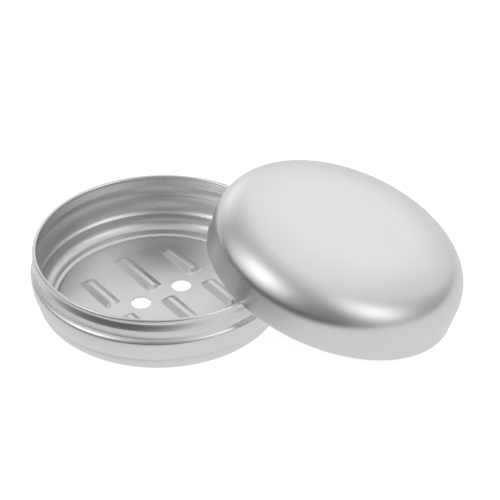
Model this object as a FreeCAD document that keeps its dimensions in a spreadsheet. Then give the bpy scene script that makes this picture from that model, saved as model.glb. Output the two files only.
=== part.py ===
"""A round aluminium soap tin, opened: a drained, ribbed bowl with its push-on lid leaning on the rim.

Millimetres, +Z up. The origin is on the bowl's axis, at the surface that the bowl stands on. +X points
from the bowl to the lid. Both pieces are one sheet thickness all over.
"""

import FreeCAD, Part
import enum
import math
import os
import re

import Sketcher

# Lengths are in millimetres and angles in degrees. A share is a part of the size named beside it.
SIZES = {
    # Both pieces: the bowl's widest place and the lid's skirt have the same diameter.
    "body_diameter": 85.0,
    "sheet": 0.7,
    "fit_gap": 0.25,
    # Bowl: the height of its widest place, and the outside of the bend from the side in to the neck.
    "side_height": 13.15,
    "shoulder_radius": 1.8,
    # Bottom corner: a round bulge that stands in from the side by the draw. The side curves in to a crease
    # on top of it, and a cone runs on under it to the foot ring.
    "bowl_draw": 1.83,
    "corner_radius": 3.7,
    "corner_height": 4.95,
    "crease_height": 6.0,
    "foot_inset": 6.47,
    # Foot ring and the floor panel raised inside it.
    "foot_width": 1.2,
    "floor_height": 2.4,
    "floor_edge_radius": 0.6,
    # Neck, from the shoulder up: the grip, which leans out to its top, the waist, which leans back in, and
    # the flattened roll of the rim.
    "grip_height": 3.05,
    "grip_draw": 0.25,
    "waist_height": 2.45,
    "rim_height": 2.0,
    "rim_width": 1.3,
    # Pressed ribs in three columns and two rows. The columns' pitch is a share of the floor's radius,
    # and a rib's flat top a share of its width.
    "rib_turn": 40.0,
    "rib_pitch_share": 0.49,
    "rib_width": 5.6,
    "rib_height": 1.3,
    "rib_top_share": 0.3,
    "rib_start": 2.75,
    "side_rib_margin": 4.7,
    "middle_rib_margin": 7.8,
    "drain_diameter": 6.6,
    # Lid: the corner above the skirt, and the crown arc that runs on to the flat top. The crown's width is
    # from the skirt's outside in to the edge of the flat top.
    "lid_corner_radius": 11.5,
    "crown_rise": 2.0,
    "crown_width": 24.8,
    # Lean: the rim carries the lid's inner edge at this share of that edge's radius above its centre.
    "lean_share": 0.7,
    "lean_gap": 0.25,
}

# Bowl
BODY_RADIUS = "(body_diameter / 2)"
FOOT_RADIUS = f"({BODY_RADIUS} - bowl_draw - foot_inset)"
FLOOR_RADIUS = f"({FOOT_RADIUS} - foot_width)"
FLOOR_UNDERSIDE = "(floor_height - sheet)"

# The cone under the bottom corner touches the corner's arc, seen from the foot
CORNER_MIDDLE = f"({BODY_RADIUS} - bowl_draw - corner_radius)"
CONE_OFFSET = f"({CORNER_MIDDLE} - {FOOT_RADIUS})"
CONE_SIGHT = f"({CONE_OFFSET}^2 + corner_height^2)"
CONE_LENGTH = f"sqrt({CONE_SIGHT} - corner_radius^2)"
CONE_COSINE = f"(({CONE_OFFSET} * {CONE_LENGTH} + corner_height * corner_radius) / {CONE_SIGHT})"
CONE_SINE = f"((corner_height * {CONE_LENGTH} - {CONE_OFFSET} * corner_radius) / {CONE_SIGHT})"
VALLEY_RADIUS = f"({FOOT_RADIUS} - sheet * (1 - {CONE_COSINE}) / {CONE_SINE})"

# Shoulder: the bend from the side to the groove under the neck's grip. The lid's inner edge seats on it.
BEND_MIDDLE = f"({BODY_RADIUS} - shoulder_radius)"
LID_INSIDE = f"({BODY_RADIUS} - sheet)"
SEAT = "(side_height + sqrt(sheet * (2 * shoulder_radius - sheet)))"

# Neck
NECK_RADIUS = f"({LID_INSIDE} - fit_gap)"
GROOVE_RADIUS = f"({NECK_RADIUS} - grip_draw)"
GROOVE = f"(side_height + sqrt(shoulder_radius^2 - ({GROOVE_RADIUS} - {BEND_MIDDLE})^2))"
GRIP_TOP = f"({GROOVE} + grip_height)"
MOUTH_RADIUS = f"({NECK_RADIUS} - rim_width)"
WAIST_RADIUS = f"({MOUTH_RADIUS} + sheet)"
RIM_RADIUS = "(rim_width / 2)"
RIM_CREST_RADIUS = f"({NECK_RADIUS} - {RIM_RADIUS})"
RIM_TOP = f"({GRIP_TOP} + waist_height + rim_height)"
RIM_HIGH = f"({RIM_TOP} - {RIM_RADIUS})"
RIM_LOW = f"({RIM_TOP} - rim_height + {RIM_RADIUS})"
RIM_ROOT = f"({RIM_LOW} - sqrt(sheet * (rim_width - sheet)))"

# Ribs and drains
RIB_PITCH = f"({FLOOR_RADIUS} * rib_pitch_share)"
SIDE_RIB_END = f"sqrt(({FLOOR_RADIUS} - side_rib_margin)^2 - ({RIB_PITCH} + rib_width / 2)^2)"
MIDDLE_RIB_END = f"({FLOOR_RADIUS} - middle_rib_margin)"
RIB_SLOPE = "atan(rib_width * (1 - rib_top_share) / (2 * rib_height))"
RIB_INSET = f"(sheet * (1 - sin({RIB_SLOPE})) / cos({RIB_SLOPE}))"

# Lid, in its own frame: the edge lies at zero height, and the skirt is straight as far as the closed rim
TOP_RADIUS = f"({BODY_RADIUS} - crown_width)"
SKIRT_TOP = f"({RIM_TOP} - {SEAT})"
LID_RISE = "(lid_corner_radius + crown_rise)"
LID_TOP = f"({SKIRT_TOP} + {LID_RISE})"
CROWN_RADIUS = f"((crown_width^2 + {LID_RISE}^2 - 2 * crown_width * lid_corner_radius) / (2 * crown_rise))"

# The lid's lean: its lowest point is on the table, and its inner edge crosses over the rim at two points.
LEAN_SINE = f"(({RIM_TOP} + lean_gap) / ({BODY_RADIUS} + lean_share * {LID_INSIDE}))"
LEAN_HALF_SPAN = f"({LID_INSIDE} * sqrt(1 - lean_share^2))"
LID_ALONG = (
    f"({LID_INSIDE} * lean_share * sqrt(1 - {LEAN_SINE}^2)"
    f" + sqrt({RIM_CREST_RADIUS}^2 - {LEAN_HALF_SPAN}^2))"
)
LID_LIFT = f"({BODY_RADIUS} * {LEAN_SINE})"

# Sides of the way travelled along an outline
LEFT, RIGHT = 1, -1


class Point(enum.IntEnum):
    """A sketch's own numbers for the points of a stretch, and for its origin, a point of its first axis."""

    START = 1
    END = 2
    CENTRE = 3


class Axis(enum.IntEnum):
    """A sketch's own numbers for its axes."""

    ACROSS = -1
    UP = -2


def formula(text):
    """The text with each size's name written as the spreadsheet cell of that name."""
    return re.sub(r"[a-z_]+", lambda word: f"Sizes.{word[0]}" if word[0] in SIZES else word[0], text)


def value(sheet, text):
    """What a formula of sizes comes to now."""
    return float(sheet.evalExpression(formula(text)))


def write_sizes(document):
    sheet = document.addObject("Spreadsheet::Sheet", "Sizes")
    for row, (name, number) in enumerate(SIZES.items(), start=1):
        sheet.set(f"A{row}", name)
        sheet.set(f"B{row}", str(number))
        sheet.setAlias(f"B{row}", name)
    document.recompute()
    return sheet


def new_sketch(body, name, role, lift=None, turn=None):
    """A sketch on one of the body's own planes, lifted along its normal and turned in its plane."""
    sketch = body.newObject("Sketcher::SketchObject", name)
    plane = next(feature for feature in body.Origin.OriginFeatures if feature.Role == role)
    sketch.AttachmentSupport = (plane, [""])
    sketch.MapMode = "FlatFace"
    if lift:
        sketch.setExpression("AttachmentOffset.Base.z", formula(lift))
    if turn:
        sketch.setExpression("AttachmentOffset.Rotation.Angle", formula(turn))
    return sketch


def hold(sketch, sheet, kind, elements, text):
    """A dimension of the sketch that follows a formula."""
    number = sketch.addConstraint(Sketcher.Constraint(kind, *elements, value(sheet, text)))
    sketch.setExpression(f"Constraints[{number}]", formula(text))


def pin(sketch, sheet, geometry, point, across, up):
    """Hold a point of the sketch at two formulas, measured from the sketch's origin."""
    for kind, text, axis in (("DistanceX", across, Axis.UP), ("DistanceY", up, Axis.ACROSS)):
        if text == "0":
            sketch.addConstraint(Sketcher.Constraint("PointOnObject", geometry, point, axis))
        else:
            hold(sketch, sheet, kind, (Axis.ACROSS, Point.START, geometry, point), text)


def arc_between(first, last, radius, side):
    """The short arc from first to last with its centre on the given side of the way travelled."""
    chord = last - first
    half = chord.Length / 2
    to_left = FreeCAD.Vector(-chord.y, chord.x, 0).normalize()
    centre = (first + last) / 2 + to_left * side * math.sqrt(radius**2 - half**2)
    ends = (first, last) if side == LEFT else (last, first)
    angles = [math.atan2(end.y - centre.y, end.x - centre.x) for end in ends]
    if angles[1] < angles[0]:
        angles[1] += 2 * math.pi
    circle = Part.Circle(centre, FreeCAD.Vector(0, 0, 1), radius)
    return Part.ArcOfCircle(circle, *angles)


def draw_outline(sketch, sheet, corners):
    """Draw a closed outline through corners that are held by formulas.

    A corner is (across, up). With (across, up, radius, side) the stretch that leaves it is an arc of
    that radius, with its centre on that side of the way travelled.
    """
    places = [FreeCAD.Vector(value(sheet, corner[0]), value(sheet, corner[1]), 0) for corner in corners]
    stretches = []
    for number, (_, _, *bend) in enumerate(corners):
        first = places[number]
        last = places[(number + 1) % len(places)]
        if bend:
            radius, side = bend
            curve = arc_between(first, last, value(sheet, radius), side)
        else:
            side = LEFT
            curve = Part.LineSegment(first, last)
        ends = (Point.START, Point.END) if side == LEFT else (Point.END, Point.START)
        stretches.append((sketch.addGeometry(curve, False), *ends))
    for number, (geometry, _, ends) in enumerate(stretches):
        following, begins, _ = stretches[(number + 1) % len(stretches)]
        sketch.addConstraint(Sketcher.Constraint("Coincident", geometry, ends, following, begins))
    for (across, up, *bend), (geometry, begins, _) in zip(corners, stretches):
        pin(sketch, sheet, geometry, begins, across, up)
        if bend:
            hold(sketch, sheet, "Radius", (geometry,), bend[0])


def revolve(body, sketch, name):
    """A full turn of the sketch about its upright axis."""
    turned = body.newObject("PartDesign::Revolution", name)
    turned.Profile = sketch
    turned.ReferenceAxis = (sketch, ["V_Axis"])
    turned.Angle = 360
    return turned


def cone_joint(radius):
    """Where the cone over the foot runs into the bottom corner's arc of this radius."""
    return f"{CORNER_MIDDLE} + {radius} * {CONE_SINE}", f"corner_height - {radius} * {CONE_COSINE}"


def crease(radius):
    """How far out the crease on top of the bottom corner's arc of this radius is."""
    return f"({CORNER_MIDDLE} + sqrt({radius}^2 - (crease_height - corner_height)^2))"


def side_arc(top, bottom):
    """Radius of the side's arc, which is upright at its top, between two distances from the axis."""
    return f"((({top} - {bottom})^2 + (side_height - crease_height)^2) / (2 * ({top} - {bottom})))"


def crown_joint(radius):
    """Where the lid's corner arc of this radius runs into its crown arc."""
    apart = f"({CROWN_RADIUS} - lid_corner_radius)"
    across = f"{BODY_RADIUS} - lid_corner_radius + {radius} * (crown_width - lid_corner_radius) / {apart}"
    up = f"{SKIRT_TOP} + {radius} * ({CROWN_RADIUS} - {LID_RISE}) / {apart}"
    return across, up


def bowl_outline():
    """The bowl's half section: underside and outside upwards, over the rim, and down the inside."""
    inner_corner = "(corner_radius - sheet)"
    outer_crease, inner_crease = crease("corner_radius"), crease(inner_corner)
    underside = [
        ("0", FLOOR_UNDERSIDE),
        (FLOOR_RADIUS, FLOOR_UNDERSIDE),
        (FLOOR_RADIUS, "0"),
    ]
    outside = [
        (FOOT_RADIUS, "0"),
        (*cone_joint("corner_radius"), "corner_radius", LEFT),
        (outer_crease, "crease_height", side_arc(BODY_RADIUS, outer_crease), LEFT),
        (BODY_RADIUS, "side_height", "shoulder_radius", LEFT),
    ]
    neck = [
        (GROOVE_RADIUS, GROOVE),
        (NECK_RADIUS, GRIP_TOP),
    ]
    rim = [
        (WAIST_RADIUS, RIM_ROOT, RIM_RADIUS, LEFT),
        (NECK_RADIUS, RIM_LOW),
        (NECK_RADIUS, RIM_HIGH, RIM_RADIUS, LEFT),
        (RIM_CREST_RADIUS, RIM_TOP, RIM_RADIUS, LEFT),
        (MOUTH_RADIUS, RIM_HIGH),
    ]
    ledge = "side_height + shoulder_radius - sheet"
    inside = [
        (MOUTH_RADIUS, RIM_ROOT),
        (f"{NECK_RADIUS} - sheet", GRIP_TOP),
        (f"{GROOVE_RADIUS} - sheet", ledge),
        (BEND_MIDDLE, ledge, "shoulder_radius - sheet", RIGHT),
        (LID_INSIDE, "side_height", side_arc(LID_INSIDE, inner_crease), RIGHT),
        (inner_crease, "crease_height", inner_corner, RIGHT),
        cone_joint(inner_corner),
        (VALLEY_RADIUS, "sheet"),
    ]
    floor = [
        (f"{FLOOR_RADIUS} + sheet", "sheet"),
        (f"{FLOOR_RADIUS} + sheet", "floor_height - floor_edge_radius", "floor_edge_radius", LEFT),
        (f"{FLOOR_RADIUS} + sheet - floor_edge_radius", "floor_height"),
        ("0", "floor_height"),
    ]
    return underside + outside + neck + rim + inside + floor


def lid_outline():
    """The lid's half section: up the skirt, over the crown to the axis, and back inside."""
    inner_corner = "(lid_corner_radius - sheet)"
    outside = [
        (BODY_RADIUS, "0"),
        (BODY_RADIUS, SKIRT_TOP, "lid_corner_radius", LEFT),
        (*crown_joint("lid_corner_radius"), CROWN_RADIUS, LEFT),
        (TOP_RADIUS, LID_TOP),
        ("0", LID_TOP),
    ]
    inside = [
        ("0", f"{LID_TOP} - sheet"),
        (TOP_RADIUS, f"{LID_TOP} - sheet", f"{CROWN_RADIUS} - sheet", RIGHT),
        (*crown_joint(inner_corner), inner_corner, RIGHT),
        (LID_INSIDE, SKIRT_TOP),
        (LID_INSIDE, "0"),
    ]
    return outside + inside


def rib_outlines(inset):
    """The six ribs' rectangles, drawn in by an inset: three columns across, a row each side of the drains."""
    columns = (
        (f"-{RIB_PITCH}", SIDE_RIB_END),
        ("0", MIDDLE_RIB_END),
        (RIB_PITCH, SIDE_RIB_END),
    )
    for middle, far_end in columns:
        low_side = f"{middle} - rib_width / 2 + {inset}"
        high_side = f"{middle} + rib_width / 2 - {inset}"
        for row in ("1", "-1"):
            near = f"{row} * (rib_start + {inset})"
            far = f"{row} * ({far_end} - {inset})"
            yield [(low_side, near), (high_side, near), (high_side, far), (low_side, far)]


def draw_ribs(body, sheet, name, lift, inset):
    sketch = new_sketch(body, name, "XY_Plane", lift, "rib_turn")
    for corners in rib_outlines(inset):
        draw_outline(sketch, sheet, corners)
    return sketch


def must_change(feature, sign):
    """Stop if a feature has not added (1) or taken away (-1) material."""
    if (feature.Shape.Volume - feature.BaseFeature.Shape.Volume) * sign <= 0:
        raise RuntimeError(f"{feature.Name} changes nothing")


def add_ribs(body, sheet):
    """The ribs pressed up out of the floor, and the hollows under them."""
    ribs = body.newObject("PartDesign::Pad", "ribs")
    ribs.Profile = draw_ribs(body, sheet, "rib_tops", "floor_height", "0")
    ribs.setExpression("Length", formula("rib_height"))
    ribs.setExpression("TaperAngle", formula(f"-{RIB_SLOPE}"))
    body.Document.recompute()
    must_change(ribs, 1)
    hollows = body.newObject("PartDesign::Pocket", "rib_hollows")
    hollows.Profile = draw_ribs(body, sheet, "rib_undersides", FLOOR_UNDERSIDE, RIB_INSET)
    hollows.Reversed = True
    hollows.setExpression("Length", formula("rib_height"))
    hollows.setExpression("TaperAngle", formula(f"-{RIB_SLOPE}"))
    body.Document.recompute()
    must_change(hollows, -1)


def draw_circle(sketch, sheet, across, up, radius):
    """A circle whose centre and radius follow formulas."""
    centre = FreeCAD.Vector(value(sheet, across), value(sheet, up), 0)
    circle = Part.Circle(centre, FreeCAD.Vector(0, 0, 1), value(sheet, radius))
    geometry = sketch.addGeometry(circle, False)
    pin(sketch, sheet, geometry, Point.CENTRE, across, up)
    hold(sketch, sheet, "Radius", (geometry,), radius)


def add_drains(body, sheet):
    """Two drain holes, midway between the rib columns."""
    sketch = new_sketch(body, "drain_circles", "XY_Plane", turn="rib_turn")
    for side in ("1", "-1"):
        draw_circle(sketch, sheet, f"{side} * {RIB_PITCH} / 2", "0", "drain_diameter / 2")
    drains = body.newObject("PartDesign::Pocket", "drains")
    drains.Profile = sketch
    drains.Type = "ThroughAll"
    drains.Reversed = True
    body.Document.recompute()
    must_change(drains, -1)


def make_base(document, sheet):
    body = document.addObject("PartDesign::Body", "base")
    sketch = new_sketch(body, "bowl_section", "XZ_Plane")
    draw_outline(sketch, sheet, bowl_outline())
    revolve(body, sketch, "bowl")
    document.recompute()
    add_ribs(body, sheet)
    add_drains(body, sheet)
    return body


def make_lid(document, sheet):
    body = document.addObject("PartDesign::Body", "lid")
    sketch = new_sketch(body, "lid_section", "XZ_Plane")
    draw_outline(sketch, sheet, lid_outline())
    revolve(body, sketch, "dome")
    lean = math.degrees(math.asin(value(sheet, LEAN_SINE)))
    body.Placement = FreeCAD.Placement(
        FreeCAD.Vector(0, 0, 0), FreeCAD.Rotation(FreeCAD.Vector(0, 1, 0), lean)
    )
    body.setExpression("Placement.Rotation.Angle", formula(f"asin({LEAN_SINE})"))
    body.setExpression("Placement.Base.x", formula(LID_ALONG))
    body.setExpression("Placement.Base.z", formula(LID_LIFT))
    document.recompute()
    return body


def check(document, bodies):
    """Stop at an object that failed or a sub-part that isn't one sound solid."""
    for item in document.Objects:
        if "Invalid" in item.State or "Error" in item.State:
            raise RuntimeError(f"{item.Name} failed: {item.State}")
    for body in bodies:
        shape = body.Shape
        if shape.isNull() or not shape.isValid() or len(shape.Solids) != 1:
            raise RuntimeError(f"{body.Label} is not one valid solid")


def main():
    document = FreeCAD.newDocument("soap_tin")
    sheet = write_sizes(document)
    bodies = [make_base(document, sheet), make_lid(document, sheet)]
    document.recompute()
    check(document, bodies)
    os.makedirs("parts", exist_ok=True)
    for body in bodies:
        body.Shape.exportStep(f"parts/{body.Label}.step")
        box = body.Shape.optimalBoundingBox()
        print(f"{body.Label}: volume {body.Shape.Volume:.1f} mm3, {box}")
    print(f"least gap between bowl and lid {bodies[0].Shape.distToShape(bodies[1].Shape)[0]:.3f} mm")


main()
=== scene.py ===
"""A satin aluminium soap tin, opened: a drained, ribbed bowl and the push-on lid that leans on its rim.

Laid out as an add-on and run as a script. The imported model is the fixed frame. The bowl and the lid are
rebuilt in the same place as smooth surfaces, and a plain studio is set up around them. Metres, +Z up.
"""

import math

import bpy
import numpy as np
from bpy.props import FloatProperty, FloatVectorProperty, IntProperty, PointerProperty
from bpy.types import Operator, Panel, PropertyGroup
from mathutils import Matrix, Vector
from mathutils.geometry import delaunay_2d_cdt


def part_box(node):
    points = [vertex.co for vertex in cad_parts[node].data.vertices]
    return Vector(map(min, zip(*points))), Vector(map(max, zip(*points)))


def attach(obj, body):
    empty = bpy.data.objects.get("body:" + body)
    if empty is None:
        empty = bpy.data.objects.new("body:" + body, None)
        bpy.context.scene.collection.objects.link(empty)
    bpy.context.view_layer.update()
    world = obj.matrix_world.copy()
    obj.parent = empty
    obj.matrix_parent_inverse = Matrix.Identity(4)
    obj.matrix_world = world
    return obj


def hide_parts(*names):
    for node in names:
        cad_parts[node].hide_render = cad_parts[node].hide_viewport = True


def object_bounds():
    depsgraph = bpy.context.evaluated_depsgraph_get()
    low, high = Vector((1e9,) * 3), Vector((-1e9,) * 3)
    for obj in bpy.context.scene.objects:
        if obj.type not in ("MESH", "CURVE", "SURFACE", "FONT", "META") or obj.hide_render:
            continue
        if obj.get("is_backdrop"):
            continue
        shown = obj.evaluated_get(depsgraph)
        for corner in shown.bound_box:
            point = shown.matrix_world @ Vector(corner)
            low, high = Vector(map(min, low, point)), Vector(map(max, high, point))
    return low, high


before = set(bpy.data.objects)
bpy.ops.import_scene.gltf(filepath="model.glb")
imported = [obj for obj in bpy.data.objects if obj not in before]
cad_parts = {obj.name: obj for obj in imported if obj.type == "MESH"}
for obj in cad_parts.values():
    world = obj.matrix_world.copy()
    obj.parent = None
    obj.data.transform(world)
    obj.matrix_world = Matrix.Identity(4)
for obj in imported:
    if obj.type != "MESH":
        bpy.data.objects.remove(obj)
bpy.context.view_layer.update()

bl_info = {
    "name": "Soap tin",
    "version": (1, 0, 0),
    "blender": (4, 5, 0),
    "location": "View3D > Sidebar > Soap tin",
    "description": "Builds a satin aluminium soap tin and a plain studio for it",
    "category": "Object",
}

MM = 0.001
BOWL_LOW, BOWL_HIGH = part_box("base")
BOWL_RADIUS = (BOWL_HIGH.x - BOWL_LOW.x) / 2 / MM


def length(name, description, millimetres):
    """A size that is shown as a length."""
    return FloatProperty(
        name=name,
        description=description,
        default=millimetres * MM,
        min=0.0,
        precision=5,
        unit="LENGTH",
    )


def share(name, description, default, high=1.0):
    """A plain factor."""
    return FloatProperty(name=name, description=description, default=default, min=0.0, max=high)


def to_linear(code):
    """Linear red, green and blue of an sRGB hex colour."""
    coded = np.array([int(code[place:place + 2], 16) for place in (1, 3, 5)]) / 255
    return tuple(np.where(coded <= 0.04045, coded / 12.92, ((coded + 0.055) / 1.055) ** 2.4))


def colour(name, description, code):
    """A colour, given as sRGB hex and kept as linear values."""
    return FloatVectorProperty(
        name=name,
        description=description,
        default=to_linear(code),
        min=0.0,
        max=1.0,
        subtype="COLOR",
    )


class SheetSizes(PropertyGroup):
    """Sizes that the bowl and the lid share."""

    body_radius: length("Body radius", "Outside of the bowl's side and of the lid's skirt", BOWL_RADIUS)
    thickness: length("Thickness", "Thickness of the aluminium sheet", 0.7)
    fit_gap: length("Fit gap", "Gap between the lid's skirt and the bowl's neck", 0.25)
    crease: length("Crease", "How far creases and cut edges are rounded off", 0.09)
    turns: IntProperty(name="Turns", description="Steps round a full turn", default=288, min=24)


class BowlSizes(PropertyGroup):
    """The bowl below its shoulder."""

    side_height: length("Side height", "Height of the bowl's widest place", 13.15)
    shoulder_radius: length("Shoulder radius", "Radius of the bend from the side in to the neck", 1.8)
    draw: length("Draw", "How far the bottom corner stands in from the widest place", 1.83)
    corner_radius: length("Corner radius", "Radius of the bottom corner", 3.7)
    corner_height: length("Corner height", "Height of the bottom corner's middle", 4.95)
    crease_height: length("Crease height", "Height of the crease between side and bottom corner", 6.0)
    flare_height: length("Flare height", "Height over the crease at which the flare starts", 0.8)
    flare_width: length("Flare width", "How far the side turns in on the flare", 0.7)
    inner_lift: length("Inner lift", "How much higher the crease and the bottom corner lie inside", 1.2)
    inner_radius: length("Inner radius", "Radius of the bottom corner inside", 4.1)
    valley_rise: length("Valley rise", "Rise of the rounded way in to the foot ring", 0.33)
    foot_inset: length("Foot inset", "From the bottom corner's outside in to the foot ring", 6.47)
    foot_width: length("Foot width", "Width of the flat ring that the bowl stands on", 1.2)
    floor_height: length("Floor height", "Height of the floor panel's top", 2.4)
    floor_edge: length("Floor edge", "Radius at the floor panel's raised edge", 0.6)


class NeckSizes(PropertyGroup):
    """The neck, from the shoulder up."""

    grip_height: length("Grip height", "From the groove up to the widest place of the neck", 3.05)
    grip_draw: length("Grip draw", "How far the grip leans out on its way up", 0.25)
    grip_hollow: length("Grip hollow", "How far the grip is hollowed", 0.22)
    waist_height: length("Waist height", "From the widest place of the neck up to the rim", 2.45)
    rim_height: length("Rim height", "Height of the rim's flattened roll", 2.0)
    rim_width: length("Rim width", "Thickness of the rim's flattened roll", 1.3)


class RibSizes(PropertyGroup):
    """Ribs and drains in the floor."""

    turn: FloatProperty(
        name="Turn", description="Turn of the rib pattern", default=math.radians(40), subtype="ANGLE"
    )
    pitch: length("Pitch", "Distance between the columns of ribs", 16.17)
    width: length("Width", "Width of a rib at its foot", 6.4)
    top_width: length("Top width", "Width of a rib's crown", 0.9)
    height: length("Height", "Height of a rib over the floor", 1.25)
    start: length("Start", "From the row of drains to a rib's inner end", 2.75)
    side_end: length("Side end", "From the row of drains to the outer end of the side ribs", 21.0)
    middle_end: length("Middle end", "From the row of drains to the outer end of the middle ribs", 25.2)
    inner_slope: length("Inner slope", "Length of the slope at a rib's inner end", 2.2)
    outer_slope: length("Outer slope", "Length of the slope at a rib's outer end", 3.0)
    drain_radius: length("Drain radius", "Radius of the drain holes", 3.3)
    drain_edge: length("Drain edge", "Rounding of the drain holes' edges", 0.15)


class LidSizes(PropertyGroup):
    """The lid and the way it leans."""

    corner_radius: length("Corner radius", "Radius of the corner above the skirt", 11.5)
    crown_rise: length("Crown rise", "Height that the crown arc adds over the corner", 2.0)
    crown_width: length("Crown width", "From the skirt's outside in to the flat top", 24.8)
    lean_share: share("Lean share", "Where the rim carries the inner edge, as a share of its radius", 0.7)
    lean_gap: length("Lean gap", "Clearance between the lid's edge and the rim", 0.25)


class FinishSettings(PropertyGroup):
    """The satin aluminium."""

    metal: colour("Metal", "Colour of the aluminium", "#E6E6E7")
    shade: colour("Shade", "Colour of the aluminium in its duller clouds", "#DDDDDE")
    roughness: share("Roughness", "Roughness of the satin surface", 0.26)
    polish: share("Polish", "How much smoother worn edges are", 0.08)
    cloud: length("Cloud", "Size of the faint clouds in the finish", 14.0)
    grain: length("Grain", "Size of the satin grain", 0.5)
    grain_depth: length("Grain depth", "Depth of the satin grain", 0.0002)
    cloud_change: share("Cloud change", "How much the roughness differs between the clouds", 0.08)
    grain_change: share("Grain change", "How much roughness the grain adds at most", 0.06)


class StudioSettings(PropertyGroup):
    """Floor, light and camera."""

    paper: colour("Paper", "Colour of the floor", "#F4F4F4")
    sheet_half: length("Sheet half", "From the tin to the edges of the paper", 1500.0)
    glow: share("Glow", "Brightness of the paper, lit from below", 0.88, high=20.0)
    glow_front: length("Glow front", "From the bowl's middle to where the paper's glow starts to fade", 41.0)
    glow_fade: length("Glow fade", "How far the glow fades out from there, to the front left", 45.0)
    overlight: share("Overlight", "What the camera's exposure adds to the paper", 0.75, high=20.0)
    room: share("Room", "Brightness of the room between the lights", 0.2)
    light: share("Light", "Brightness of all the soft lights together", 1.0, high=20.0)
    lens: FloatProperty(
        name="Lens", description="Focal length on a 36 mm sensor", default=161.5, min=1.0, unit="CAMERA"
    )


class TinSettings(PropertyGroup):
    """All settings of the soap tin."""

    sheet: PointerProperty(type=SheetSizes)
    bowl: PointerProperty(type=BowlSizes)
    neck: PointerProperty(type=NeckSizes)
    ribs: PointerProperty(type=RibSizes)
    lid: PointerProperty(type=LidSizes)
    finish: PointerProperty(type=FinishSettings)
    studio: PointerProperty(type=StudioSettings)


# Sections. A section is a way round the sheet in (radius, height), with the metal on its left, so that
# the right of the way is the outside.

ARC_STEPS = 64


def line(first, last):
    """A straight stretch, given by its ends."""
    return np.array([first, last])


def arc(centre, radius, first, last):
    """A circular stretch: centre + radius * (cos a, sin a), with a from first to last in degrees."""
    angle = np.radians(np.linspace(first, last, ARC_STEPS))
    return np.asarray(centre) + radius * np.column_stack([np.cos(angle), np.sin(angle)])


def bulge(first, last, rise):
    """A circular stretch that rises to the right of the straight way between its ends.

    Its radius is (half the chord squared + the rise squared) / twice the rise.
    """
    first, last = np.asarray(first), np.asarray(last)
    chord = last - first
    half = np.hypot(*chord) / 2
    right = np.array([chord[1], -chord[0]]) / (2 * half)
    radius = (half**2 + rise**2) / (2 * rise)
    centre = (first + last) / 2 + right * (rise - radius)
    ends = [np.degrees(np.arctan2(*(end - centre)[::-1])) for end in (first, last)]
    ends = np.degrees(np.unwrap(np.radians(ends)))
    return arc(centre, abs(radius), *ends)


def soften(path, crease):
    """The path with rounded creases: each point is the Gaussian mean of its neighbours along the way."""
    steps_in_crease = 4
    steps_each_way = 4 * steps_in_crease
    way = np.r_[0, np.cumsum(np.hypot(*np.diff(path, axis=0).T))]
    new = np.r_[True, np.diff(way) > 0]
    even = np.linspace(0, way[-1], int(steps_in_crease * way[-1] / crease))
    evened = np.column_stack([np.interp(even, way[new], path[new, axis]) for axis in (0, 1)])
    reach = np.arange(-steps_each_way, steps_each_way + 1)
    weight = np.exp(-((reach / steps_in_crease) ** 2) / 2)
    weight /= weight.sum()
    padded = np.pad(evened, ((steps_each_way, steps_each_way), (0, 0)), "reflect", reflect_type="odd")
    return np.column_stack([np.convolve(padded[:, axis], weight, "valid") for axis in (0, 1)])


def choose(path, turn, stretch):
    """Points of the path, closer together where it turns, with their outward normals and their bend.

    From one point to the next the path's turn over turn and its length over stretch add up to one.
    """
    step = np.gradient(path, axis=0)
    gone = np.hypot(*step.T)
    heading = np.unwrap(np.arctan2(step[:, 1], step[:, 0]))
    bend = np.gradient(heading)
    cost = np.cumsum(np.abs(bend) / turn + gone / stretch)
    cost -= cost[0]
    marks = np.linspace(0, cost[-1], math.ceil(cost[-1]) + 1)
    chosen = np.column_stack([np.interp(marks, cost, path[:, axis]) for axis in (0, 1)])
    heading, bend = (np.interp(marks, cost, row) for row in (heading, bend / gone))
    return chosen, np.column_stack([np.sin(heading), -np.cos(heading)]), bend


def groove_height(tin):
    """Height of the groove where the shoulder's bend meets the neck."""
    bend, inwards = tin.bowl.shoulder_radius, tin.sheet.thickness + tin.sheet.fit_gap + tin.neck.grip_draw
    return tin.bowl.side_height + math.sqrt(bend**2 - (bend - inwards) ** 2)


def rim_top(tin):
    """Height of the bowl's rim."""
    return groove_height(tin) + tin.neck.grip_height + tin.neck.waist_height + tin.neck.rim_height


def panel_radius(tin):
    """Radius of the raised floor panel's underside."""
    return tin.sheet.body_radius - tin.bowl.draw - tin.bowl.foot_inset - tin.bowl.foot_width


def crease_angle(bowl, corner):
    """Where round a bottom corner of this radius the crease on top of it is, in degrees."""
    return math.degrees(math.asin((bowl.crease_height - bowl.corner_height) / corner))


def side_path(bowl, crease, top):
    """The side from the crease's point up: the flare, and the arc from there to the upright top.

    An arc of width w and height h that ends upright has the radius (w² + h²) / 2 w.
    """
    foot = crease + (bowl.flare_width, bowl.flare_height)
    width, height = top - foot[0], bowl.side_height - foot[1]
    radius = (width**2 + height**2) / (2 * width)
    rise = arc((top - radius, bowl.side_height), radius, -math.degrees(math.asin(height / radius)), 0)
    return np.vstack([crease, rise])


# Where the inside of the bottom corner lies level and runs into the valley beside the foot ring, in degrees
INNER_CORNER_END = -88


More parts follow.
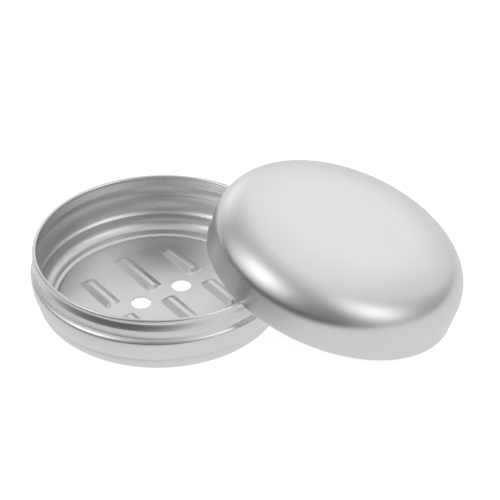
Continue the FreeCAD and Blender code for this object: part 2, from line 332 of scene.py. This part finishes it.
def bowl_section(tin, reach):
    """The bowl's section from a radius under its floor, up the outside, over the rim and down to the floor.

    The cone between the foot and the bottom corner touches the corner's arc.
    """
    sheet, bowl = tin.sheet, tin.bowl
    body, thick, corner = sheet.body_radius, sheet.thickness, bowl.corner_radius
    panel = panel_radius(tin)
    foot = panel + bowl.foot_width
    floor = bowl.floor_height
    corner_centre = (body - bowl.draw - corner, bowl.corner_height)
    aside = corner_centre[0] - foot
    cone = math.atan2(bowl.corner_height, aside) - math.asin(corner / math.hypot(aside, bowl.corner_height))
    under = math.degrees(cone) - 90
    outer = arc(corner_centre, corner, under, crease_angle(bowl, corner))
    inner_corner = bowl.inner_radius
    inner_centre = (body - bowl.draw - thick - inner_corner, bowl.corner_height + bowl.inner_lift)
    inner = arc(inner_centre, inner_corner, crease_angle(bowl, inner_corner), INNER_CORNER_END)
    bend = bowl.shoulder_radius
    bend_centre = (body - bend, bowl.side_height)
    ledge = bowl.side_height + bend - thick
    neck = body - thick - sheet.fit_gap
    groove = neck - tin.neck.grip_draw
    bend_end = math.degrees(math.acos((groove - bend_centre[0]) / bend))
    grip_top = groove_height(tin) + tin.neck.grip_height
    mouth, rim = neck - tin.neck.rim_width, tin.neck.rim_width / 2
    rim_high = rim_top(tin) - rim
    rim_low = rim_top(tin) - tin.neck.rim_height + rim
    rim_start = -math.degrees(math.acos((thick - rim) / rim))
    return np.vstack([
        line((reach, floor - thick), (panel, floor - thick)),
        line((panel, 0), (foot, 0)),
        outer,
        side_path(bowl, outer[-1], body),
        arc(bend_centre, bend, 0, bend_end),
        bulge((groove, groove_height(tin)), (neck, grip_top), -tin.neck.grip_hollow),
        arc((mouth + rim, rim_low), rim, rim_start, 0),
        arc((mouth + rim, rim_high), rim, 0, 180),
        line((mouth, rim_high), (mouth, rim_low)),
        bulge((neck - thick, grip_top), (groove - thick, ledge), tin.neck.grip_hollow),
        arc(bend_centre, bend - thick, 90, 0),
        side_path(bowl, inner[0], body - thick)[::-1],
        inner,
        bulge(inner[-1], (foot - thick * math.tan(cone / 2), thick), bowl.valley_rise),
        line((panel + thick, thick), (panel + thick, floor - bowl.floor_edge)),
        arc((panel + thick - bowl.floor_edge, floor - bowl.floor_edge), bowl.floor_edge, 0, 90),
        line((panel + thick - bowl.floor_edge, floor), (reach, floor)),
    ])


def lid_section(tin):
    """The lid's section, from the axis inside, round the edge at zero height, to the axis on top.

    The skirt is straight up to the rim of the closed bowl, whose shoulder carries the skirt's inner edge.
    """
    body, thick, corner = tin.sheet.body_radius, tin.sheet.thickness, tin.lid.corner_radius
    width, rise = tin.lid.crown_width, corner + tin.lid.crown_rise
    seat = tin.bowl.side_height + math.sqrt(thick * (2 * tin.bowl.shoulder_radius - thick))
    skirt = rim_top(tin) - seat
    crown = (width**2 + rise**2 - 2 * width * corner) / (2 * tin.lid.crown_rise)
    top, flat = skirt + rise, body - width
    joint = math.degrees(math.atan2(crown - rise, width - corner))
    return np.vstack([
        line((0, top - thick), (flat, top - thick)),
        arc((flat, top - crown), crown - thick, 90, joint),
        arc((body - corner, skirt), corner - thick, joint, 0),
        line((body - thick, 0), (body, 0)),
        arc((body - corner, skirt), corner, 0, joint),
        arc((flat, top - crown), crown, joint, 90),
        line((flat, top), (0, top)),
    ])


def lid_place(tin):
    """Where the lid leans: its low edge is on the floor, and its inner edge crosses the rim at two points.

    The sine of the lean is the rim's height over the distance along the lid from its low edge to the rim.
    """
    sheet = tin.sheet
    inside = sheet.body_radius - sheet.thickness
    along = inside * tin.lid.lean_share
    sine = (rim_top(tin) + tin.lid.lean_gap) / (sheet.body_radius + along)
    crest = inside - sheet.fit_gap - tin.neck.rim_width / 2
    half_span = math.sqrt(inside**2 - along**2)
    across = along * math.sqrt(1 - sine**2) + math.sqrt(crest**2 - half_span**2)
    place = Matrix.Translation((across, 0, sheet.body_radius * sine))
    return np.array(place @ Matrix.Rotation(math.asin(sine), 4, "Y"))


# Surfaces. A surface is (points, normals, wear, triangles). Wear is 1 on edges that are polished by hands
# and by the lid.

# Steps of a section: the largest turn and the longest stretch between neighbouring points
TURN_STEP = math.radians(6)
STRETCH_STEP = 2.5 * MM
# Outward bends of this radius or less are worn fully
WORN_RADIUS = 0.4 * MM
# Points this close are one point, and slopes are taken over this length
TINY = 0.001 * MM


def lathe(section, facing, wear, turns):
    """A section turned round the Z axis: (r cos a, r sin a, z) for each of its points and each angle a."""
    angle = 2 * np.pi * np.arange(turns) / turns
    spun = [
        np.stack([
            pair[:, :1] * np.cos(angle),
            pair[:, :1] * np.sin(angle),
            pair[:, 1:] + 0 * angle,
        ], axis=2)
        for pair in (section, facing)
    ]
    rows = np.arange(len(section) * turns).reshape(-1, turns)
    ahead = np.roll(rows, -1, axis=1)
    quads = np.stack([rows[:-1], ahead[:-1], ahead[1:], rows[1:]], axis=2).reshape(-1, 4)
    triangles = np.concatenate([quads[:, [0, 1, 2]], quads[:, [0, 2, 3]]])
    return spun[0].reshape(-1, 3), spun[1].reshape(-1, 3), np.repeat(wear, turns), triangles


def smooth_step(value):
    """0 up to 0, 1 from 1 on, and 3 x² - 2 x³ between."""
    value = np.clip(value, 0, 1)
    return value * value * (3 - 2 * value)


def turned(section, tin):
    """A section's lathe surface, worn where it bends outwards tightly."""
    path, facing, bend = choose(soften(section, tin.sheet.crease), TURN_STEP, STRETCH_STEP)
    return lathe(path, facing, smooth_step(bend * WORN_RADIUS), tin.sheet.turns)


def rib_columns(ribs):
    """Each column's place across the drains and its outer end."""
    return (-ribs.pitch, ribs.side_end), (0.0, ribs.middle_end), (ribs.pitch, ribs.side_end)


def rib_rise(across, along, ribs):
    """The ribs' height over the floor: smooth steps in from a rib's sides and from its ends, multiplied."""
    slope = (ribs.width - ribs.top_width) / 2
    rise = np.zeros_like(across)
    for place, end in rib_columns(ribs):
        sides = smooth_step((ribs.width / 2 - np.abs(across - place)) / slope)
        inner = smooth_step((np.abs(along) - ribs.start) / ribs.inner_slope)
        outer = smooth_step((end - np.abs(along)) / ribs.outer_slope)
        rise += sides * inner * outer
    return ribs.height * rise


# Lines of points along a rib: on each slope, and on the crown between the slopes of its ends
SLOPE_POINTS = 10
CROWN_POINTS = 8


def rib_grid(ribs):
    """Points of the floor where the ribs are, in lines that follow their slopes."""
    step = np.linspace(0, 1, SLOPE_POINTS)
    side = ribs.width / 2 - step * (ribs.width - ribs.top_width) / 2
    grids = []
    for place, end in rib_columns(ribs):
        inner, outer = ribs.start + step * ribs.inner_slope, end - step[::-1] * ribs.outer_slope
        middle = np.linspace(inner[-1], outer[0], CROWN_POINTS)[1:-1]
        lines = np.meshgrid(place + np.r_[-side, 0, side[::-1]], np.r_[inner, middle, outer])
        grids += [np.column_stack([lines[0].ravel(), row * lines[1].ravel()]) for row in (1, -1)]
    return np.vstack(grids)


def circle(centre, radius, steps):
    """Points evenly round a circle."""
    angle = 2 * np.pi * np.arange(steps) / steps
    return np.asarray(centre) + radius * np.column_stack([np.cos(angle), np.sin(angle)])


def loop_edges(first, steps):
    """Pairs of numbers that close a loop of points."""
    numbers = first + np.arange(steps)
    return np.column_stack([numbers, np.roll(numbers, -1)])


# How far inside the floor panel's edge the ribbed floor ends
FLOOR_MARGIN = 1.0 * MM
# Points round a drain. Its rounded edges take one in so many points of their arcs.
DRAIN_STEPS = 72
EDGE_STRIDE = 12
# How far the ribs' crowns are worn, and what counts as one point in the floor's plan, in metres
RIB_WEAR = 0.5
PLAN_TOLERANCE = 1e-9


def floor_sheet(tin, reach):
    """The floor inside a radius, top and underside, with its ribs and the walls of its drains.

    Its height is the floor's height plus the ribs' rise at each point of the plan. The plan is a Delaunay
    net through the outer circle, the drains' edges and lines along the ribs' slopes.
    """
    ribs, thick, top = tin.ribs, tin.sheet.thickness, tin.bowl.floor_height
    cosine, sine = math.cos(ribs.turn), math.sin(ribs.turn)
    turn = np.array([[cosine, sine], [-sine, cosine]])
    drains = np.array([[-ribs.pitch / 2, 0], [ribs.pitch / 2, 0]]) @ turn
    lip = ribs.drain_radius + ribs.drain_edge
    plan = np.vstack([
        circle((0, 0), reach, tin.sheet.turns),
        *(circle(drain, lip, DRAIN_STEPS) for drain in drains),
        rib_grid(ribs) @ turn,
    ])
    edges = np.vstack([
        loop_edges(0, tin.sheet.turns),
        *(loop_edges(tin.sheet.turns + number * DRAIN_STEPS, DRAIN_STEPS) for number in (0, 1)),
    ])
    net = delaunay_2d_cdt(plan.tolist(), edges.tolist(), [], 1, PLAN_TOLERANCE)
    if len(net[0]) != len(plan):
        raise RuntimeError("the floor's plan has points that coincide")
    triangles = np.array(net[2])
    middles = plan[triangles].mean(axis=1)
    open_to_below = [np.hypot(*(middles - drain).T) < ribs.drain_radius for drain in drains]
    triangles = triangles[~np.any(open_to_below, axis=0)]

    across, along = plan @ turn.T[:, 0], plan @ turn.T[:, 1]
    slope = np.column_stack([
        rib_rise(across + TINY, along, ribs) - rib_rise(across - TINY, along, ribs),
        rib_rise(across, along + TINY, ribs) - rib_rise(across, along - TINY, ribs),
    ]) / (2 * TINY) @ turn
    facing = np.column_stack([-slope, np.ones(len(plan))])
    facing /= np.linalg.norm(facing, axis=1)[:, None]
    rise = rib_rise(across, along, ribs)
    wear = RIB_WEAR * (rise / ribs.height) ** 2
    upper = np.column_stack([plan, top + rise])
    surfaces = [
        (upper, facing, wear, triangles),
        (upper - (0, 0, thick), -facing, 0 * wear, triangles[:, ::-1]),
    ]
    edge = ribs.drain_edge
    wall = np.vstack([
        arc((lip, top - edge), edge, 90, 180)[::EDGE_STRIDE],
        arc((lip, top - thick + edge), edge, 180, 270)[::-EDGE_STRIDE][::-1],
    ])
    nearest_height = np.clip(wall[:, 1], top - thick + edge, top - edge)
    wall_facing = wall - np.column_stack([np.full(len(wall), lip), nearest_height])
    wall_facing /= np.linalg.norm(wall_facing, axis=1)[:, None]
    for drain in drains:
        points, normals, worn, sides = lathe(wall, wall_facing, np.zeros(len(wall)), DRAIN_STEPS)
        surfaces.append((points + (*drain, 0), normals, worn, sides))
    return surfaces


def weld(surfaces):
    """One surface from several: points at the same place become one, and triangles without area go."""
    starts = np.cumsum([0] + [len(surface[0]) for surface in surfaces])
    points, normals, wear = (np.concatenate([surface[part] for surface in surfaces]) for part in range(3))
    triangles = np.concatenate([surface[3] + start for surface, start in zip(surfaces, starts)])
    grid = np.round(points / TINY).astype(np.int64)
    _, first, number = np.unique(grid, axis=0, return_index=True, return_inverse=True)
    triangles = number.ravel()[triangles]
    whole = np.all(triangles != np.roll(triangles, 1, axis=1), axis=1)
    return points[first], normals[first], wear[first], triangles[whole]


def add_piece(name, surface, material, node, body):
    """The object of a surface, in place of a node of the frame."""
    points, normals, wear, triangles = surface
    mesh = bpy.data.meshes.new(name)
    mesh.from_pydata(points.tolist(), [], triangles.tolist(), shade_flat=False)
    mesh.attributes.new("wear", "FLOAT", "POINT").data.foreach_set("value", wear.astype(np.float32))
    mesh.normals_split_custom_set_from_vertices(normals.tolist())
    mesh.materials.append(material)
    piece = bpy.data.objects.new(name, mesh)
    bpy.context.scene.collection.objects.link(piece)
    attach(piece, body)
    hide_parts(node)
    return piece


# Directions are an azimuth from straight behind the tin round to its right, and an elevation, in degrees


def heading_to(azimuth, elevation):
    """The unit vector of a direction."""
    azimuth, elevation = math.radians(azimuth), math.radians(elevation)
    level = math.cos(elevation)
    return Vector((math.sin(azimuth) * level, math.cos(azimuth) * level, math.sin(elevation)))


# Materials


def add_node(tree, kind, inputs=(), **settings):
    """Add a node with its settings. An input is given a value, or linked to another node's output."""
    node = tree.nodes.new(kind)
    for name, setting in settings.items():
        setattr(node, name, setting)
    for socket, source in dict(inputs).items():
        if isinstance(source, bpy.types.NodeSocket):
            tree.links.new(source, node.inputs[socket])
        else:
            node.inputs[socket].default_value = source
    return node


def empty_tree(owner):
    """The owner's node tree, with nothing in it."""
    owner.use_nodes = True
    owner.node_tree.nodes.clear()
    return owner.node_tree


def satin_aluminium(finish):
    """Drawn aluminium sheet, blasted to a satin.

    It gives broad soft highlights, faint clouds and edges that wear has polished.
    """
    found = bpy.data.materials.get("satin_aluminium")
    if found:
        return found
    material = bpy.data.materials.new("satin_aluminium")
    tree = empty_tree(material)
    place = add_node(tree, "ShaderNodeTexCoord").outputs["Object"]
    cloud = add_node(
        tree, "ShaderNodeTexNoise", {"Vector": place, "Scale": 1 / finish.cloud, "Detail": 3.0}
    ).outputs["Fac"]
    # Real satin grain is finer than a pixel, so it is drawn about ten times too coarse.
    grain = add_node(
        tree, "ShaderNodeTexNoise", {"Vector": place, "Scale": 1 / finish.grain, "Detail": 2.0}
    ).outputs["Fac"]
    wear = add_node(tree, "ShaderNodeAttribute", attribute_name="wear").outputs["Fac"]
    clouded = add_node(
        tree,
        "ShaderNodeMath",
        {0: cloud, 1: finish.cloud_change, 2: finish.roughness - finish.cloud_change / 2},
        operation="MULTIPLY_ADD",
    ).outputs[0]
    grained = add_node(
        tree, "ShaderNodeMath", {0: grain, 1: finish.grain_change, 2: clouded}, operation="MULTIPLY_ADD"
    ).outputs[0]
    worn = add_node(
        tree, "ShaderNodeMath", {0: wear, 1: -finish.polish, 2: grained}, operation="MULTIPLY_ADD"
    ).outputs[0]
    tint = add_node(
        tree,
        "ShaderNodeMix",
        {"Factor": cloud, "A": (*finish.shade, 1), "B": (*finish.metal, 1)},
        data_type="RGBA",
    )
    bump = add_node(
        tree, "ShaderNodeBump", {"Height": grain, "Strength": 1.0, "Distance": finish.grain_depth}
    ).outputs["Normal"]
    shader = add_node(
        tree,
        "ShaderNodeBsdfPrincipled",
        {"Base Color": tint.outputs["Result"], "Metallic": 1.0, "Roughness": worn, "Normal": bump},
    )
    add_node(tree, "ShaderNodeOutputMaterial", {"Surface": shader.outputs[0]})
    return material


# The way that the light under the paper fades
FADE_HEADING = (-142, 0)


def white_paper(studio):
    """Thin white paper, lit from below: in reflections it glows, and fades out to the front left.

    The glow is g exp(-max(d, 0)²), for the distance d past the start of the fade, over the fade's length.
    To the camera the paper is overlit, so that it shows next to no shadow.
    """
    material = bpy.data.materials.new("white_paper")
    tree = empty_tree(material)
    white = (*studio.paper, 1)
    seen = add_node(tree, "ShaderNodeLightPath").outputs["Is Camera Ray"]
    place = add_node(tree, "ShaderNodeTexCoord").outputs["Object"]
    along = add_node(
        tree, "ShaderNodeVectorMath", {0: place, 1: heading_to(*FADE_HEADING)}, operation="DOT_PRODUCT"
    ).outputs["Value"]
    past = add_node(
        tree,
        "ShaderNodeMath",
        {0: along, 1: 1 / studio.glow_fade, 2: -studio.glow_front / studio.glow_fade},
        operation="MULTIPLY_ADD",
    ).outputs[0]
    faded = add_node(tree, "ShaderNodeMath", {0: past, 1: 0.0}, operation="MAXIMUM").outputs[0]
    squared = add_node(tree, "ShaderNodeMath", {0: faded, 1: 2.0}, operation="POWER").outputs[0]
    fading = add_node(tree, "ShaderNodeMath", {0: math.exp(-1), 1: squared}, operation="POWER").outputs[0]
    glow = add_node(tree, "ShaderNodeMath", {0: fading, 1: studio.glow}, operation="MULTIPLY").outputs[0]
    lamp = add_node(tree, "ShaderNodeEmission", {"Color": white, "Strength": glow}).outputs[0]
    paper = add_node(tree, "ShaderNodeBsdfDiffuse", {"Color": white}).outputs[0]
    light = add_node(tree, "ShaderNodeEmission", {"Color": white, "Strength": studio.overlight}).outputs[0]
    overlit = add_node(tree, "ShaderNodeAddShader", {0: paper, 1: light}).outputs[0]
    surface = add_node(tree, "ShaderNodeMixShader", {0: seen, 1: lamp, 2: overlit}).outputs[0]
    add_node(tree, "ShaderNodeOutputMaterial", {"Surface": surface})
    return material


# The studio

# Each soft light's azimuth, elevation, brightness and focus. The higher the focus, the narrower the light.
SOFT_LIGHTS = (
    # One at each side of the camera
    (-120, 33, 1.5, 13.0),
    (120, 33, 1.2, 13.0),
    # Low ones behind the bowl and at its left
    (-30, 10, 0.8, 13.0),
    (-90, 10, 0.5, 13.0),
    # Broad ones behind the tin and overhead
    (20, 20, 0.6, 6.0),
    (30, 70, 0.6, 3.0),
)


# How far the paper lies under the tin's foot, so that the two don't coincide
PAPER_DROP = 0.02 * MM


def add_floor(studio, centre):
    """A sheet of paper under the tin."""
    half = studio.sheet_half
    sides = ((-1, -1), (1, -1), (1, 1), (-1, 1))
    corners = [(centre.x + half * x, centre.y + half * y, -PAPER_DROP) for x, y in sides]
    mesh = bpy.data.meshes.new("floor")
    mesh.from_pydata(corners, [], [(0, 1, 2, 3)])
    mesh.materials.append(white_paper(studio))
    floor = bpy.data.objects.new("floor", mesh)
    bpy.context.scene.collection.objects.link(floor)
    floor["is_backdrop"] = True


def soft_lights(tree, studio):
    """The lights' brightness along a direction v.

    It is the room's, plus the sum of b exp(f (v · d - 1)) over the lights' directions d.
    """
    seen_along = add_node(tree, "ShaderNodeTexCoord").outputs["Generated"]
    total = studio.room
    for azimuth, elevation, brightness, focus in SOFT_LIGHTS:
        towards = heading_to(azimuth, elevation)
        cosine = add_node(
            tree, "ShaderNodeVectorMath", {0: seen_along, 1: towards}, operation="DOT_PRODUCT"
        ).outputs["Value"]
        power = add_node(
            tree, "ShaderNodeMath", {0: cosine, 1: focus, 2: -focus}, operation="MULTIPLY_ADD"
        ).outputs[0]
        falloff = add_node(tree, "ShaderNodeMath", {0: power}, operation="EXPONENT").outputs[0]
        total = add_node(
            tree,
            "ShaderNodeMath",
            {0: falloff, 1: brightness * studio.light, 2: total},
            operation="MULTIPLY_ADD",
        ).outputs[0]
    return total


def add_surround(studio):
    """The soft lights all round, and plain white behind the tin where the camera looks past it."""
    world = bpy.data.worlds.new("studio")
    tree = empty_tree(world)
    seen = add_node(tree, "ShaderNodeLightPath").outputs["Is Camera Ray"]
    white = (1, 1, 1, 1)
    brightness = soft_lights(tree, studio)
    lights = add_node(tree, "ShaderNodeBackground", {"Color": white, "Strength": brightness}).outputs[0]
    behind = add_node(tree, "ShaderNodeBackground", {"Color": white, "Strength": 1.0}).outputs[0]
    mixed = add_node(tree, "ShaderNodeMixShader", {0: seen, 1: lights, 2: behind}).outputs[0]
    add_node(tree, "ShaderNodeOutputWorld", {"Surface": mixed})
    bpy.context.scene.world = world


# The camera's place, its turn to the left and its dip, in degrees, and its sensor's width in millimetres
CAMERA_PLACE = Vector((64.79, -594.69, 440.69)) * MM
CAMERA_TURN = 3.41
CAMERA_DIP = 35.15
SENSOR_WIDTH = 36.0


def add_camera(studio):
    """The camera, at the photograph's viewing angle."""
    data = bpy.data.cameras.new("camera")
    data.sensor_width = SENSOR_WIDTH
    data.lens = studio.lens
    camera = bpy.data.objects.new("camera", data)
    camera.location = CAMERA_PLACE
    camera.rotation_euler = (math.radians(90 - CAMERA_DIP), 0, math.radians(CAMERA_TURN))
    bpy.context.scene.collection.objects.link(camera)
    bpy.context.scene.camera = camera


# Operators


class SOAP_TIN_OT_bowl(Operator):
    """Build the bowl with its ribs, drains, neck and rim"""

    bl_idname = "soap_tin.bowl"
    bl_label = "Bowl"

    def execute(self, context):
        tin = context.scene.soap_tin
        reach = panel_radius(tin) - FLOOR_MARGIN
        surface = weld([turned(bowl_section(tin, reach), tin), *floor_sheet(tin, reach)])
        add_piece("tin_bowl", surface, satin_aluminium(tin.finish), "base", "base")
        return {"FINISHED"}


class SOAP_TIN_OT_lid(Operator):
    """Build the lid, leaning on the bowl's rim"""

    bl_idname = "soap_tin.lid"
    bl_label = "Lid"

    def execute(self, context):
        tin = context.scene.soap_tin
        points, normals, wear, triangles = weld([turned(lid_section(tin), tin)])
        place = lid_place(tin)
        surface = points @ place[:3, :3].T + place[:3, 3], normals @ place[:3, :3].T, wear, triangles
        add_piece("tin_lid", surface, satin_aluminium(tin.finish), "lid", "lid")
        return {"FINISHED"}


class SOAP_TIN_OT_stage(Operator):
    """Set up the paper floor, the soft lights and the camera"""

    bl_idname = "soap_tin.stage"
    bl_label = "Stage"

    def execute(self, context):
        studio = context.scene.soap_tin.studio
        low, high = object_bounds()
        centre = (low + high) / 2
        add_floor(studio, centre)
        add_surround(studio)
        add_camera(studio)
        context.scene.view_settings.view_transform = "Standard"
        return {"FINISHED"}


class SOAP_TIN_PT_panel(Panel):
    """Sizes and steps of the soap tin"""

    bl_idname = "SOAP_TIN_PT_panel"
    bl_label = "Soap tin"
    bl_space_type = "VIEW_3D"
    bl_region_type = "UI"
    bl_category = "Soap tin"

    def draw(self, context):
        tin = context.scene.soap_tin
        for group_name in TinSettings.__annotations__:
            box = self.layout.box()
            box.label(text=group_name.capitalize())
            group = getattr(tin, group_name)
            for setting in type(group).__annotations__:
                box.prop(group, setting)
        for operator in OPERATORS:
            self.layout.operator(operator.bl_idname)


OPERATORS = (SOAP_TIN_OT_bowl, SOAP_TIN_OT_lid, SOAP_TIN_OT_stage)
CLASSES = (
    SheetSizes,
    BowlSizes,
    NeckSizes,
    RibSizes,
    LidSizes,
    FinishSettings,
    StudioSettings,
    TinSettings,
    *OPERATORS,
    SOAP_TIN_PT_panel,
)


def register():
    for kind in CLASSES:
        bpy.utils.register_class(kind)
    bpy.types.Scene.soap_tin = PointerProperty(type=TinSettings)


def unregister():
    del bpy.types.Scene.soap_tin
    for kind in reversed(CLASSES):
        bpy.utils.unregister_class(kind)


def main():
    register()
    bpy.ops.soap_tin.bowl()
    bpy.ops.soap_tin.lid()
    bpy.ops.soap_tin.stage()


if __name__ == "__main__":
    main()
